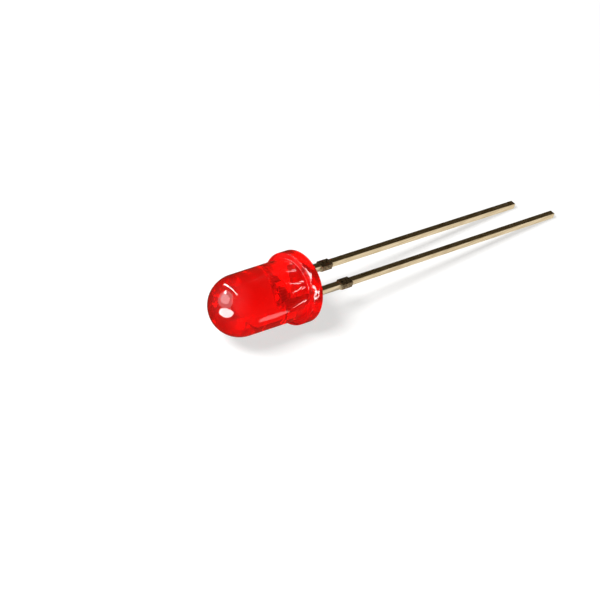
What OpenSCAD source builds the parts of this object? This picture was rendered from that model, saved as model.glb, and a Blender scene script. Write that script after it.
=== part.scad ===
// Through-hole LED with a round 5 mm lens, lying on its flange and on the tips of its two leads.
// Every piece is drawn standing on the underside of its flange, with +Z out of the dome, +X towards the
// anode lead and +Y through the thickness of the lead sheet, and is then laid down by lie_down().

/* [Lens] */
// Diameter of the round body and of its dome
body_d = 5.0; // [4:0.1:8]
// Height of the lens, from the underside of the flange to the top of the dome
lens_h = 8.5; // [7:0.1:14]
// How far the flange stands out from the body
flange_proud = 0.45; // [0.2:0.05:1.5]
// Thickness of the flange
flange_t = 1.05; // [0.6:0.05:1.8]
// Rounding of the two edges of the flange
flange_edge_r = 0.08; // [0.02:0.01:0.25]
// Fillet between the flange and the body
root_fillet_r = 0.08; // [0.02:0.01:0.2]
// Depth of the hollow that the cured epoxy leaves in the underside
dish_depth = 0.08; // [0.02:0.01:0.2]
// Width of the flat rim around that hollow
dish_rim = 0.5; // [0.3:0.05:1]

/* [Leads] */
// Length of the anode lead below the flange
anode_len = 28.5; // [12:0.5:40]
// How much shorter the cathode lead is
lead_step = 2.5; // [0:0.5:5]
// Distance between the centre lines of the leads
lead_pitch = 2.54; // [2:0.01:3.1]
// Width of a lead, along the row of leads
lead_w = 0.5; // [0.4:0.01:0.6]
// Thickness of the lead sheet
lead_t = 0.5; // [0.4:0.01:0.6]
// How far the stubs of the sheared tie bar stand out on each side of a lead
stub_proud = 0.15; // [0.05:0.01:0.3]
// Distance from the flange to the stubs
stub_drop = 3.15; // [1:0.05:6]
// Length of the stubs along the lead
stub_len = 1.25; // [0.5:0.05:2]
// Slope at the end of each stub that faces the flange
stub_slope = 0.12; // [0:0.01:0.3]

/* [Lead frame inside the lens] */
// Height of the cup's rim above the underside of the flange
cup_rim_z = 3.08; // [2.6:0.01:3.4]
// Outer diameter of the reflector cup
cup_d = 1.45; // [1.2:0.01:1.6]
// Height of the round head that holds the cup
cup_h = 0.7; // [0.55:0.01:0.9]
// Depth of the cup
cup_depth = 0.42; // [0.3:0.01:0.5]
// Diameter of the cup at its rim
cup_mouth_d = 1.22; // [1:0.01:1.3]
// Diameter of the cup's floor
cup_floor_d = 0.66; // [0.5:0.01:0.9]
// Gap between the cup's head and the anode post
post_gap = 0.25; // [0.15:0.01:0.35]
// Height of the top of the anode post
post_top_z = 2.95; // [2.6:0.01:3.3]
// How far the post and the anvil are wider than the leads, on their outer sides
post_flare = 0.3; // [0.1:0.01:0.35]
// Height at which the leads start to widen
neck_z = 0.85; // [0.5:0.01:1.2]

/* [Chip and wire] */
// Side of the square chip
chip_w = 0.3; // [0.2:0.01:0.38]
// Thickness of the chip
chip_t = 0.2; // [0.1:0.01:0.25]
// Diameter of the die attach under the chip
attach_d = 0.52; // [0.5:0.01:0.6]
// Thickness of the die attach
attach_t = 0.03; // [0.02:0.005:0.05]
// Diameter of the bond wire
wire_d = 0.03; // [0.025:0.001:0.05]
// Diameter of the ball at the chip end of the wire
ball_d = 0.09; // [0.08:0.005:0.12]
// Thickness of that ball, and of the flattened end on the post
ball_t = 0.02; // [0.015:0.001:0.03]
// Distance from the post's inner edge to the flattened end of the wire
stitch_inset = 0.22; // [0.15:0.01:0.4]

/* [Hidden] */

$fn = 96;

// Lens
body_r = body_d / 2;
flange_r = body_r + flange_proud;
dome_z = lens_h - body_r;
dish_r = flange_r - dish_rim;
dish_sphere_r = (dish_r * dish_r + dish_depth * dish_depth) / (2 * dish_depth);

// Leads
cathode_len = anode_len - lead_step;
lead_in = (lead_pitch - lead_w) / 2;
lead_out = (lead_pitch + lead_w) / 2;
post_out = lead_out + post_flare;
flare_rise = 0.35;
corner_cut = 0.35;

// Cup and anode post
cup_r = cup_d / 2;
cup_base_z = cup_rim_z - cup_h;
cup_floor_z = cup_rim_z - cup_depth;
cup_flare = 0.28;
anvil_top_z = cup_base_z + 0.2;
anvil_toe_z = cup_base_z - 0.4;
anvil_toe_x = cup_r - cup_flare;
post_in = cup_r + post_gap;

// Chip and wire
chip_z = cup_floor_z + attach_t;
chip_top_z = chip_z + chip_t;
stitch_x = post_in + stitch_inset;
loop_r = stitch_x / 2;
loop_z = max(chip_top_z, post_top_z) + ball_t + wire_d;

// Rest: the rim of the flange and both lead tips touch the ground.  The difference in length of the leads
// fixes the roll for a given tilt, and the tilt follows from the height of the flange by repeated substitution.
lead_slope = lead_step / lead_pitch;
tip_reach = anode_len - (lead_pitch - sign(lead_slope) * lead_w) / 2 * lead_slope;
settle_steps = 12;

function rim_drop(tilt) =
    flange_edge_r + (flange_r - flange_edge_r) * cos(tilt) - flange_edge_r * sin(tilt);

function tip_edge_drop(tilt) =
    lead_t / 2 * sqrt(pow(cos(tilt), 2) - pow(lead_slope * sin(tilt), 2));

function settle(tilt, steps) =
    steps == 0 ? tilt : settle(asin((rim_drop(tilt) - tip_edge_drop(tilt)) / tip_reach), steps - 1);

tilt = settle(0, settle_steps);
roll = asin(lead_slope * tan(tilt));

// Place: the origin is under the middle of the length, from the dome to the anode tip
dome_reach = dome_z * cos(tilt) + body_r;
anode_reach = anode_len * cos(tilt) + sin(tilt) * (lead_out * sin(roll) + lead_t / 2 * cos(roll));
origin_x = (dome_reach - anode_reach) / 2;

module lie_down() {
    translate([origin_x, 0, rim_drop(tilt)])
        rotate([0, tilt - 90, 0])
            rotate([0, 0, roll - 90])
                children();
}

// A stamped outline, drawn in X and Z, given the thickness of the lead sheet
module stamped() {
    rotate([90, 0, 0])
        linear_extrude(lead_t, center = true)
            children();
}

// Half the section of the lens, from its axis outwards
module lens_section() {
    difference() {
        union() {
            square([body_r, dome_z]);
            intersection() {
                translate([0, dome_z]) circle(body_r);
                translate([0, dome_z]) square(body_r);
            }
            square([flange_r - flange_edge_r, flange_t]);
            translate([0, flange_edge_r]) square([flange_r, flange_t - 2 * flange_edge_r]);
            for (edge_z = [flange_edge_r, flange_t - flange_edge_r])
                translate([flange_r - flange_edge_r, edge_z]) circle(flange_edge_r);
            difference() {
                translate([body_r, flange_t]) square(root_fillet_r);
                translate([body_r + root_fillet_r, flange_t + root_fillet_r]) circle(root_fillet_r);
            }
        }
        translate([0, dish_depth - dish_sphere_r]) circle(dish_sphere_r);
    }
}

// One side of a lead below the flange, from the stub of the tie bar down to the tip; side is -1 or 1
function lead_side(x, lead_len, side) =
    let (edge_x = x + side * lead_w / 2, stub_x = edge_x + side * stub_proud, stub_end = -stub_drop - stub_len) [
        [edge_x, -stub_drop], [stub_x, -stub_drop - stub_slope], [stub_x, stub_end],
        [edge_x, stub_end], [edge_x, -lead_len]
    ];

function reversed(points) = [for (i = [len(points) - 1 : -1 : 0]) points[i]];

// A whole stamped lead: down one side, up the other, then round the head inside the lens
module lead_outline(x, lead_len, head) {
    polygon(concat(lead_side(x, lead_len, -1), reversed(lead_side(x, lead_len, 1)), head));
}

module cathode_outline() {
    lead_outline(-lead_pitch / 2, cathode_len, [
        [-lead_in, neck_z], [anvil_toe_x, anvil_toe_z], [anvil_toe_x, anvil_top_z],
        [-post_out + corner_cut, anvil_top_z], [-post_out, anvil_top_z - corner_cut],
        [-post_out, neck_z + flare_rise], [-lead_out, neck_z]
    ]);
}

module anode_outline() {
    lead_outline(lead_pitch / 2, anode_len, [
        [lead_out, neck_z], [post_out, neck_z + flare_rise], [post_out, post_top_z - corner_cut],
        [post_out - corner_cut, post_top_z], [post_in, post_top_z],
        [post_in, neck_z + flare_rise], [lead_in, neck_z]
    ]);
}

// The cathode lead, its anvil and the reflector cup, which is coined in the head of the anvil
module cathode_form() {
    difference() {
        union() {
            stamped() cathode_outline();
            translate([0, 0, cup_base_z]) cylinder(r = cup_r, h = cup_h);
            translate([0, 0, cup_base_z - cup_flare]) cylinder(r1 = anvil_toe_x, r2 = cup_r, h = cup_flare);
        }
        translate([0, 0, cup_floor_z])
            cylinder(d1 = cup_floor_d, d2 = cup_mouth_d, h = cup_depth);
    }
}

module anode_form() {
    stamped() anode_outline();
}

module die_attach_form() {
    translate([0, 0, cup_floor_z]) cylinder(d = attach_d, h = attach_t);
}

module chip_form() {
    translate([-chip_w / 2, -chip_w / 2, chip_z]) cube([chip_w, chip_w, chip_t]);
}

// One end of the wire: a flattened foot on the surface at foot_z, and the straight run up to the loop
module wire_end(x, foot_z) {
    translate([x, 0, foot_z]) {
        cylinder(d = ball_d, h = ball_t);
        cylinder(d = wire_d, h = loop_z - foot_z);
    }
}

module bond_wire_form() {
    wire_end(0, chip_top_z);
    wire_end(stitch_x, post_top_z);
    translate([loop_r, 0, loop_z])
        rotate([90, 0, 0])
            rotate_extrude(angle = 180)
                translate([loop_r, 0]) circle(d = wire_d, $fn = 24);
}

module lens() {
    color([0.85, 0.02, 0.02, 0.6])
        lie_down()
            difference() {
                rotate_extrude() lens_section();
                cathode_form();
                anode_form();
                die_attach_form();
                chip_form();
                bond_wire_form();
            }
}

module cathode_lead() {
    color([0.70, 0.60, 0.44]) lie_down() cathode_form();
}

module anode_lead() {
    color([0.70, 0.60, 0.44]) lie_down() anode_form();
}

module die_attach() {
    color([0.75, 0.75, 0.77]) lie_down() die_attach_form();
}

module chip() {
    color([0.25, 0.10, 0.12]) lie_down() chip_form();
}

module bond_wire() {
    color([0.95, 0.75, 0.25]) lie_down() bond_wire_form();
}

lens();
cathode_lead();
anode_lead();
die_attach();
chip();
bond_wire();
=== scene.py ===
"""Looks of a through-hole LED that lies on its flange and on the tips of its leads.

Pieces are drawn standing on the underside of the flange, in millimetres: +Z out of the dome, +X towards the
anode lead, +Y through the lead sheet.  LAID turns that into the part's own frame, in metres.
"""
import math

import bmesh
import bpy
from mathutils import Matrix, Vector


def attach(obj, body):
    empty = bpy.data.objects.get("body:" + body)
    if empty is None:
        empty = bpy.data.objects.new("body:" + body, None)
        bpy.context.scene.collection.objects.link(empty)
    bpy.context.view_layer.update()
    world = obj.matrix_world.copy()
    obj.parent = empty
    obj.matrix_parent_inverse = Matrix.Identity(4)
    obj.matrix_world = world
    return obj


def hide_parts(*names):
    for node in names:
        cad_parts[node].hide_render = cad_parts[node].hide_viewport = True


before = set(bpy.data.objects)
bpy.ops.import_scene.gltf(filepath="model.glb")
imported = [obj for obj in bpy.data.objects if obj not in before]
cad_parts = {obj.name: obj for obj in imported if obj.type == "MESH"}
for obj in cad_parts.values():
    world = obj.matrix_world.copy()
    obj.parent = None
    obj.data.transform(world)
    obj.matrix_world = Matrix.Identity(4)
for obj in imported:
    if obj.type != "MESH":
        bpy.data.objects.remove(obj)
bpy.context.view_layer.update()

# ---------------------------------------------------------------- sizes, in millimetres
MM = 0.001
BODY_R = 2.5
LENS_H = 8.5
FLANGE_R = 2.95
FLANGE_T = 1.05
FLANGE_EDGE_R = 0.08
ROOT_FILLET_R = 0.08
DISH_DEPTH = 0.08
DISH_R = 2.45
DOME_DRAFT = 0.035
MENISCUS = 0.16
MENISCUS_WIDTH = 0.09
ANODE_LEN = 28.5
CATHODE_LEN = 26.0
LEAD_PITCH = 2.54
LEAD_W = 0.5
LEAD_T = 0.5
LEAD_BEVEL = 0.03
STUB_DROP = 3.15
STUB_LEN = 1.25
STUB_SLOPE = 0.12

# How finely the lens is divided, and how far from a rounding the rings beside it stand
LENS_SEGMENTS = 192
DISH_RINGS = 60
UNDERSIDE_RINGS = 3
EDGE_RINGS = 8
FLANGE_RINGS = 6
FILLET_RINGS = 6
BODY_RINGS = 12
DOME_RINGS = 32
GUARD = 0.02
FILLET_GUARD = 0.05
TOLERANCE = 0.001

# Height above the flange at which the waves of the mould have faded to their level on the dome
WAVE_REACH = 0.6
DOME_WAVE = 0.25

# How soon the plating gives way to torn metal at the two ends of a stub
STUB_TOP_FADE = 0.04
STUB_END_FADE = 0.02

# Rounds of repeated substitution that find the resting tilt
SETTLE_STEPS = 12

# Camera, in millimetres and degrees.  The photographed part is rolled, so the camera is rolled instead.
CAMERA_PLACE = (-92.2418, -71.2399, 105.4909)
CAMERA_TARGET = (-10.8525, -1.3487, 3.0)
CAMERA_ROLL = 16.3818
CAMERA_LENS = 114.24

# Points that lamps face, in metres
CENTRE = (0, 0, 0)
DOME_SIDE = (-0.018, -0.001, 0.0045)
DOME_TOP = (-0.0178, -0.0001, 0.0052)
BODY_SIDE = (-0.0149, -0.0024, 0.0039)
RIM_SIDE = (-0.0103, -0.0023, 0.0049)
RIM_TOP = (-0.0103, -0.0012, 0.0057)

# Lamps: name, shape, the point that it faces, direction from that point, and direction of its length;
# then its distance, length and width in metres, its radiance, its kind, and the group of pieces that it
# lights, or None for all.  A "key" lights everything but shows in no reflection, and a "fill" is the
# same without showing through the lens.  A "glint" shows only in reflections, and a "through" only in
# what is refracted.
LAMPS = (
    ("key", "RECTANGLE", CENTRE, (-0.62, 0.14, 0.77), (0, 1, 0),
     0.35, 0.13, 0.13, 29, "key", None),
    ("bounce", "RECTANGLE", CENTRE, (-0.1, -0.8, -0.6), (1, 0, 0),
     0.35, 0.4, 0.25, 6.5, "fill", "lens"),
    ("glow", "ELLIPSE", CENTRE, (-0.77, 0.34, 0.46), (0, 1, 0),
     0.35, 0.42, 0.35, 2.0, "glint", "lens"),
    ("glow_core", "ELLIPSE", DOME_TOP, (-0.79, 0.38, 0.50), (0, 1, 0),
     0.003, 0.003, 0.0023, 4, "glint", "lens"),
    ("window", "ELLIPSE", DOME_SIDE, (-0.994, -0.105, -0.03), (0.16, -0.86, 0.48),
     0.004, 0.0052, 0.0029, 18, "glint", "lens"),
    ("tube", "RECTANGLE", CENTRE, (-0.28, 0.66, 0.75), (0.14, 0.6, -0.4),
     0.3, 0.42, 0.016, 24, "glint", "lens"),
    ("spot", "ELLIPSE", CENTRE, (-0.52, 0.66, 0.54), (0.6, 0.6, 0),
     0.3, 0.07, 0.04, 24, "glint", "lens"),
    ("streak", "ELLIPSE", BODY_SIDE, (0.56, -0.70, -0.44), (1, 0, 0),
     0.01, 0.0031, 0.0028, 1.9, "glint", "lens"),
    ("rim_side", "ELLIPSE", RIM_SIDE, (0.645, -0.706, 0.292), (-0.09, -0.45, -0.89),
     0.006, 0.014, 0.0002, 16, "glint", "lens"),
    ("rim_top", "ELLIPSE", RIM_TOP, (0.685, -0.183, 0.704), (-0.02, -0.97, -0.23),
     0.006, 0.012, 0.0002, 16, "glint", "lens"),
    ("behind", "RECTANGLE", CENTRE, (0.85, 0.3, 0.45), (0, 1, 0),
     0.3, 0.2, 0.2, 16, "through", "lens"),
    ("inside", "RECTANGLE", CENTRE, (-0.55, -0.35, 0.75), (0, 1, 0),
     0.3, 0.25, 0.25, 12, "through", "lens"),
    ("table_front", "RECTANGLE", CENTRE, (0.35, -0.7, -0.6), (1, 0, 0),
     0.3, 0.7, 0.34, 1.0, "glint", "leads"),
    ("table_back", "RECTANGLE", CENTRE, (0.2, 0.75, -0.55), (1, 0, 0),
     0.3, 0.7, 0.34, 0.8, "glint", "leads"),
    ("wall", "RECTANGLE", CENTRE, (0.85, -0.25, 0.5), (0, 1, 0),
     0.3, 0.25, 0.2, 0.8, "glint", "leads"),
)

# The room is dim and warm, with one soft patch that is brightest in this direction
ROOM_LEVEL = 0.05
ROOM_TINT = (1.0, 0.78, 0.42)
PATCH_DIRECTION = (-0.8, 0.1, 0.6)
PATCH_LEVEL = 0.2
PATCH_START = -0.1

FLOOR_SIZE = 1.5
FLOOR_GREY = 0.45
FLOOR_GLOW = 0.62

# ---------------------------------------------------------------- how the part lies


def rim_drop(tilt):
    return FLANGE_EDGE_R + (FLANGE_R - FLANGE_EDGE_R) * math.cos(tilt) - FLANGE_EDGE_R * math.sin(tilt)


def laid_matrix():
    """The resting pose: the flange's rim and both lead tips touch the ground."""
    slope = (ANODE_LEN - CATHODE_LEN) / LEAD_PITCH
    reach = ANODE_LEN - (LEAD_PITCH - LEAD_W) / 2 * slope
    tilt = 0.0
    for _ in range(SETTLE_STEPS):
        edge_drop = LEAD_T / 2 * math.sqrt(math.cos(tilt) ** 2 - (slope * math.sin(tilt)) ** 2)
        tilt = math.asin((rim_drop(tilt) - edge_drop) / reach)
    roll = math.asin(slope * math.tan(tilt))
    lead_out = (LEAD_PITCH + LEAD_W) / 2
    dome_reach = (LENS_H - BODY_R) * math.cos(tilt) + BODY_R
    tip_rise = lead_out * math.sin(roll) + LEAD_T / 2 * math.cos(roll)
    anode_reach = ANODE_LEN * math.cos(tilt) + math.sin(tilt) * tip_rise
    place = Matrix.Translation(((dome_reach - anode_reach) / 2, 0, rim_drop(tilt)))
    quarter = math.pi / 2
    turn = Matrix.Rotation(tilt - quarter, 4, "Y") @ Matrix.Rotation(roll - quarter, 4, "Z")
    return Matrix.Scale(MM, 4) @ place @ turn


LAID = laid_matrix()

# ---------------------------------------------------------------- mesh helpers


def new_piece(name, mesh, material):
    piece = bpy.data.objects.new(name, mesh)
    bpy.context.scene.collection.objects.link(piece)
    mesh.materials.append(material)
    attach(piece, "root")
    return piece


def arc(centre, radius, start, end, steps):
    """Points on a circle in the (radius, height) plane, angles in degrees."""
    points = []
    for i in range(steps + 1):
        angle = math.radians(start + (end - start) * i / steps)
        points.append((centre[0] + radius * math.cos(angle), centre[1] + radius * math.sin(angle)))
    return points


def spread(first, last, steps):
    """Points on a straight line between two points, without the last one."""
    return [(first[0] + (last[0] - first[0]) * i / steps, first[1] + (last[1] - first[1]) * i / steps)
            for i in range(steps)]


def revolve(profile, segments):
    """A closed surface of revolution about Z; the profile starts and ends on the axis."""
    bm = bmesh.new()
    bottom = bm.verts.new((0, 0, profile[0][1]))
    top = bm.verts.new((0, 0, profile[-1][1]))
    angles = [2 * math.pi * k / segments for k in range(segments)]
    rings = [[bm.verts.new((r * math.cos(a), r * math.sin(a), z)) for a in angles] for r, z in profile[1:-1]]
    for k in range(segments):
        n = (k + 1) % segments
        bm.faces.new((bottom, rings[0][n], rings[0][k]))
        bm.faces.new((top, rings[-1][k], rings[-1][n]))
        for lower, upper in zip(rings, rings[1:]):
            bm.faces.new((lower[k], lower[n], upper[n], upper[k]))
    return bm


def to_mesh(name, bm):
    """A smooth mesh, laid down in the part's frame."""
    bmesh.ops.transform(bm, matrix=LAID, verts=bm.verts)
    bmesh.ops.recalc_face_normals(bm, faces=bm.faces)
    for face in bm.faces:
        face.smooth = True
    mesh = bpy.data.meshes.new(name)
    bm.to_mesh(mesh)
    bm.free()
    return mesh


# ---------------------------------------------------------------- shader nodes

# A mix node's first input, second input and output, which have the same names for every data type
MIX_SOCKETS = {"FLOAT": (2, 3, 0), "RGBA": (6, 7, 2)}


def node_material(name):
    material = bpy.data.materials.new(name)
    material.use_nodes = True
    tree = material.node_tree
    tree.nodes.clear()
    output = tree.nodes.new("ShaderNodeOutputMaterial")
    shader = tree.nodes.new("ShaderNodeBsdfPrincipled")
    tree.links.new(shader.outputs["BSDF"], output.inputs["Surface"])
    return material, tree, shader, output


def feed(tree, value, socket):
    """Link a socket to another one, or set it to a constant."""
    if isinstance(value, bpy.types.NodeSocket):
        tree.links.new(value, socket)
    else:
        socket.default_value = value


def object_coords(tree):
    return tree.nodes.new("ShaderNodeTexCoord").outputs["Object"]


def along_axis(tree, coords, start, full):
    """A factor that goes from 0 to 1 between two heights on the LED's axis, given in millimetres."""
    axis = (LAID.to_3x3() @ Vector((0, 0, 1))).normalized()
    height = tree.nodes.new("ShaderNodeVectorMath")
    height.operation = "DOT_PRODUCT"
    height.inputs[1].default_value = axis
    tree.links.new(coords, height.inputs[0])
    step = tree.nodes.new("ShaderNodeMapRange")
    origin = LAID.translation.dot(axis)
    step.inputs["From Min"].default_value = origin + start * MM
    step.inputs["From Max"].default_value = origin + full * MM
    tree.links.new(height.outputs["Value"], step.inputs["Value"])
    return step.outputs["Result"]


def noise_node(tree, coords, scale, detail, stretch=(1, 1, 1)):
    mapping = tree.nodes.new("ShaderNodeMapping")
    mapping.inputs["Scale"].default_value = stretch
    tree.links.new(coords, mapping.inputs["Vector"])
    grain = tree.nodes.new("ShaderNodeTexNoise")
    grain.inputs["Scale"].default_value = scale
    grain.inputs["Detail"].default_value = detail
    tree.links.new(mapping.outputs["Vector"], grain.inputs["Vector"])
    return grain.outputs["Fac"]


def mixed(tree, kind, factor, first, second):
    first_input, second_input, output = MIX_SOCKETS[kind]
    mix = tree.nodes.new("ShaderNodeMix")
    mix.data_type = kind
    tree.links.new(factor, mix.inputs["Factor"])
    feed(tree, first, mix.inputs[first_input])
    feed(tree, second, mix.inputs[second_input])
    return mix.outputs[output]


def math_node(tree, operation, *values):
    node = tree.nodes.new("ShaderNodeMath")
    node.operation = operation
    for socket, value in zip(node.inputs, values):
        feed(tree, value, socket)
    return node.outputs["Value"]


def ramp(tree, factor, stops):
    node = tree.nodes.new("ShaderNodeValToRGB")
    for element, (position, color) in zip(node.color_ramp.elements, stops):
        element.position = position
        element.color = (*color, 1)
    tree.links.new(factor, node.inputs["Fac"])
    return node.outputs["Color"]


def add_bump(tree, shader, height, strength, distance):
    bump = tree.nodes.new("ShaderNodeBump")
    bump.inputs["Strength"].default_value = strength
    bump.inputs["Distance"].default_value = distance
    tree.links.new(height, bump.inputs["Height"])
    tree.links.new(bump.outputs["Normal"], shader.inputs["Normal"])


# ---------------------------------------------------------------- materials


def red_epoxy():
    """Clear red epoxy with a polished skin, faint waves from the mould and a slightly uneven dye."""
    material, tree, shader, output = node_material("red_epoxy")
    coords = object_coords(tree)
    shader.inputs["Transmission Weight"].default_value = 0.75
    shader.inputs["IOR"].default_value = 1.53
    dye = noise_node(tree, coords, 500.0, 2.0)
    color = ramp(tree, dye, ((0.35, (1.0, 0.009, 0.009)), (0.65, (0.97, 0.017, 0.015))))
    tree.links.new(color, shader.inputs["Base Color"])
    haze = noise_node(tree, coords, 3000.0, 4.0)
    tree.links.new(math_node(tree, "MULTIPLY_ADD", haze, 0.05, 0.01), shader.inputs["Roughness"])
    waves = noise_node(tree, coords, 900.0, 1.0)
    near_flange = along_axis(tree, coords, FLANGE_T + WAVE_REACH, FLANGE_T)
    height = math_node(tree, "MULTIPLY", waves, math_node(tree, "ADD", near_flange, DOME_WAVE))
    add_bump(tree, shader, height, 1.0, 0.00003)
    absorb = tree.nodes.new("ShaderNodeVolumeAbsorption")
    absorb.inputs["Color"].default_value = (0.995, 0.02, 0.02, 1)
    absorb.inputs["Density"].default_value = 1200.0
    tree.links.new(absorb.outputs["Volume"], output.inputs["Volume"])
    return material


def plated_metal():
    """Pale gold plating with rolling marks, and dark torn metal where the tie bar was sheared off."""
    material, tree, shader, _ = node_material("plated_lead")
    shader.inputs["Metallic"].default_value = 1.0
    coords = object_coords(tree)
    brushed = noise_node(tree, coords, 9000.0, 4.0, (0.05, 1.0, 1.0))
    stains = noise_node(tree, coords, 900.0, 3.0, (0.4, 1.0, 1.0))
    torn = noise_node(tree, coords, 7000.0, 5.0)
    plating = ramp(tree, brushed, ((0.3, (0.50, 0.38, 0.20)), (0.7, (0.82, 0.68, 0.46))))
    stained = ramp(tree, stains, ((0.55, (0, 0, 0)), (0.75, (0.5, 0.5, 0.5))))
    plating = mixed(tree, "RGBA", stained, plating, (0.42, 0.30, 0.16, 1))
    sheared = ramp(tree, torn, ((0.35, (0.07, 0.045, 0.02)), (0.7, (0.42, 0.30, 0.16))))
    stub_top = -STUB_DROP - STUB_SLOPE
    stub_end = -STUB_DROP - STUB_LEN
    below = along_axis(tree, coords, stub_top, stub_top - STUB_TOP_FADE)
    above = along_axis(tree, coords, stub_end - STUB_END_FADE, stub_end)
    stub = math_node(tree, "MULTIPLY", below, above)
    tree.links.new(mixed(tree, "RGBA", stub, plating, sheared), shader.inputs["Base Color"])
    rough = math_node(tree, "MULTIPLY_ADD", brushed, 0.22, 0.2)
    tree.links.new(mixed(tree, "FLOAT", stub, rough, 0.5), shader.inputs["Roughness"])
    height = mixed(tree, "FLOAT", stub, math_node(tree, "MULTIPLY", brushed, 0.15), torn)
    add_bump(tree, shader, height, 0.8, 0.00006)
    return material


def simple_metal(name, dark, light, roughness, scale):
    material, tree, shader, _ = node_material(name)
    shader.inputs["Metallic"].default_value = 1.0
    shader.inputs["Roughness"].default_value = roughness
    grain = noise_node(tree, object_coords(tree), scale, 2.0)
    tree.links.new(ramp(tree, grain, ((0, dark), (1, light))), shader.inputs["Base Color"])
    return material


# ---------------------------------------------------------------- lens


def lens_profile():
    """Half the section of the lens: from the middle of its underside to the flange, then up to the dome."""
    dome_z = LENS_H - BODY_R
    dish_sphere_r = (DISH_R ** 2 + DISH_DEPTH ** 2) / (2 * DISH_DEPTH)
    points = []
    for i in range(DISH_RINGS):
        r = DISH_R * i / DISH_RINGS
        points.append((r, DISH_DEPTH - dish_sphere_r + math.sqrt(dish_sphere_r ** 2 - r * r)))
    edge_in = FLANGE_R - FLANGE_EDGE_R
    edge_top = FLANGE_T - FLANGE_EDGE_R
    points += spread((DISH_R, 0), (edge_in - GUARD, 0), UNDERSIDE_RINGS)
    points.append((edge_in - GUARD, 0))
    points += arc((edge_in, FLANGE_EDGE_R), FLANGE_EDGE_R, -90, 0, EDGE_RINGS)
    points += spread((FLANGE_R, FLANGE_EDGE_R + GUARD), (FLANGE_R, edge_top - GUARD), FLANGE_RINGS)
    points.append((FLANGE_R, edge_top - GUARD))
    points += arc((edge_in, edge_top), FLANGE_EDGE_R, 0, 90, EDGE_RINGS)
    fillet = (BODY_R + ROOT_FILLET_R, FLANGE_T + ROOT_FILLET_R)
    points += [(edge_in - GUARD, FLANGE_T), (fillet[0] + GUARD, FLANGE_T)]
    points += arc(fillet, ROOT_FILLET_R, 270, 180, FILLET_RINGS)
    top_r = BODY_R - DOME_DRAFT
    points += spread((BODY_R, fillet[1] + FILLET_GUARD), (top_r, dome_z), BODY_RINGS)
    for i in range(DOME_RINGS + 1):
        angle = math.radians(90 * i / DOME_RINGS)
        points.append((top_r * math.cos(angle), dome_z + BODY_R * math.sin(angle)))
    return points


def lead_distance(x, y):
    """Distance from the outline of the nearer lead, negative inside it."""
    dx = abs(abs(x) - LEAD_PITCH / 2) - LEAD_W / 2
    dy = abs(y) - LEAD_T / 2
    return math.hypot(max(dx, 0), max(dy, 0)) + min(max(dx, dy), 0)


def add_menisci(bm):
    """The epoxy creeps a little way down each lead where it leaves the underside."""
    for vert in bm.verts:
        if vert.co.z < DISH_DEPTH + TOLERANCE and math.hypot(vert.co.x, vert.co.y) < DISH_R:
            gap = max(lead_distance(vert.co.x, vert.co.y), 0)
            vert.co.z -= MENISCUS * math.exp(-gap / MENISCUS_WIDTH)


def make_lens():
    bm = revolve(lens_profile(), LENS_SEGMENTS)
    add_menisci(bm)
    mesh = to_mesh("lens_body", bm)
    piece = new_piece("lens_body", mesh, red_epoxy())
    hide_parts("lens")
    # Seen by no diffuse ray, so that it throws no red light on the floor
    piece.visible_diffuse = False
    return piece


# ---------------------------------------------------------------- pieces that stay CAD solids


def bevel_lead(node):
    weld = node.modifiers.new("weld", "WELD")
    weld.merge_threshold = 1e-6
    bevel = node.modifiers.new("bevel", "BEVEL")
    bevel.limit_method = "ANGLE"
    bevel.angle_limit = math.radians(35)
    bevel.width = LEAD_BEVEL * MM
    bevel.segments = 3
    node.modifiers.new("shade", "WEIGHTED_NORMAL")


def dress_solids():
    metal = plated_metal()
    for name, material in (
        ("cathode_lead", metal),
        ("anode_lead", metal),
        ("die_attach", simple_metal("silver_epoxy", (0.5, 0.5, 0.52), (0.8, 0.8, 0.82), 0.45, 20000)),
        ("chip", simple_metal("semiconductor", (0.15, 0.05, 0.05), (0.35, 0.12, 0.12), 0.2, 9000)),
        ("bond_wire", simple_metal("gold_wire", (0.8, 0.55, 0.15), (1.0, 0.8, 0.35), 0.2, 9000)),
    ):
        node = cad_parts[name]
        node.data.materials.clear()
        node.data.materials.append(material)
        if material == metal:
            bevel_lead(node)


# ---------------------------------------------------------------- stage


def make_floor():
    """A pale floor that glows a little.  No reflection shows it, so that the lens keeps its dark outline."""
    bm = bmesh.new()
    bmesh.ops.create_grid(bm, x_segments=1, y_segments=1, size=FLOOR_SIZE)
    mesh = bpy.data.meshes.new("floor")
    bm.to_mesh(mesh)
    bm.free()
    floor = bpy.data.objects.new("floor", mesh)
    bpy.context.scene.collection.objects.link(floor)
    material, _, shader, _ = node_material("floor_white")
    shader.inputs["Base Color"].default_value = (FLOOR_GREY, FLOOR_GREY, FLOOR_GREY, 1)
    shader.inputs["Roughness"].default_value = 0.8
    shader.inputs["Emission Color"].default_value = (1, 1, 1, 1)
    shader.inputs["Emission Strength"].default_value = FLOOR_GLOW
    mesh.materials.append(material)
    floor.visible_glossy = False
    floor.visible_shadow = False


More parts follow.
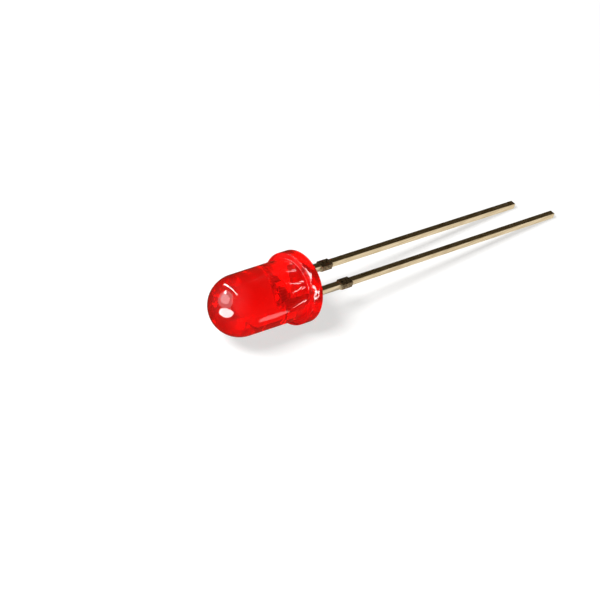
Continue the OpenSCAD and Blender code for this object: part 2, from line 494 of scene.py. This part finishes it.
def make_room():
    """A dim room with one soft bright patch."""
    world = bpy.data.worlds.new("studio")
    world.use_nodes = True
    bpy.context.scene.world = world
    tree = world.node_tree
    room = tree.nodes["Background"]
    room.inputs["Color"].default_value = (*ROOM_TINT, 1)
    room.inputs["Strength"].default_value = ROOM_LEVEL
    facing = tree.nodes.new("ShaderNodeVectorMath")
    facing.operation = "DOT_PRODUCT"
    facing.inputs[1].default_value = Vector(PATCH_DIRECTION).normalized()
    coords = tree.nodes.new("ShaderNodeTexCoord")
    tree.links.new(coords.outputs["Generated"], facing.inputs[0])
    level = tree.nodes.new("ShaderNodeMapRange")
    level.interpolation_type = "SMOOTHSTEP"
    level.inputs["From Min"].default_value = PATCH_START
    level.inputs["To Max"].default_value = PATCH_LEVEL
    tree.links.new(facing.outputs["Value"], level.inputs["Value"])
    patch = tree.nodes.new("ShaderNodeBackground")
    patch.inputs["Color"].default_value = (1, 1, 1, 1)
    tree.links.new(level.outputs["Result"], patch.inputs["Strength"])
    total = tree.nodes.new("ShaderNodeAddShader")
    tree.links.new(room.outputs[0], total.inputs[0])
    tree.links.new(patch.outputs[0], total.inputs[1])
    tree.links.new(total.outputs[0], tree.nodes["World Output"].inputs["Surface"])


def lit_group(name, members):
    """A collection of the pieces that some lamps light alone."""
    group = bpy.data.collections.new(name)
    for member in members:
        group.objects.link(member)
    return group


def make_lamp(groups, name, shape, target, direction, along, distance, length, width, radiance, kind, group):
    """A flat lamp that faces a point of the part; its length runs roughly along the given direction."""
    lamp = bpy.data.lights.new(name, "AREA")
    lamp.shape = shape
    lamp.size = length
    lamp.size_y = width
    area = length * width * (math.pi / 4 if shape == "ELLIPSE" else 1)
    lamp.energy = radiance * math.pi * area
    outward = Vector(direction).normalized()
    across = outward.cross(Vector(along)).normalized()
    turn = Matrix((across.cross(outward), across, outward)).transposed()
    card = bpy.data.objects.new(name, lamp)
    card.matrix_world = Matrix.Translation(Vector(target) + outward * distance) @ turn.to_4x4()
    card.visible_diffuse = kind in ("key", "fill")
    card.visible_glossy = kind == "glint"
    card.visible_transmission = kind in ("key", "through")
    if group:
        card.light_linking.receiver_collection = groups[group]
    bpy.context.scene.collection.objects.link(card)


def make_lamps(lens):
    leads = [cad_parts["cathode_lead"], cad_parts["anode_lead"]]
    groups = {"lens": lit_group("lit_lens", [lens]), "leads": lit_group("lit_leads", leads)}
    for lamp in LAMPS:
        make_lamp(groups, *lamp)


def make_camera():
    data = bpy.data.cameras.new("camera")
    data.lens = CAMERA_LENS
    data.sensor_width = 36
    data.clip_start = 0.005
    data.clip_end = 10
    camera = bpy.data.objects.new("camera", data)
    bpy.context.scene.collection.objects.link(camera)
    place = Vector(CAMERA_PLACE)
    look = (Vector(CAMERA_TARGET) - place).normalized()
    level = look.cross(Vector((0, 0, 1))).normalized()
    roll = math.radians(CAMERA_ROLL)
    right = level * math.cos(roll) + level.cross(look) * math.sin(roll)
    turn = Matrix((right, right.cross(look), -look)).transposed()
    camera.matrix_world = Matrix.Translation(place * MM) @ turn.to_4x4()
    bpy.context.scene.camera = camera


lens_body = make_lens()
dress_solids()
make_floor()
make_room()
make_lamps(lens_body)
make_camera()
bpy.context.scene.view_settings.view_transform = "Standard"
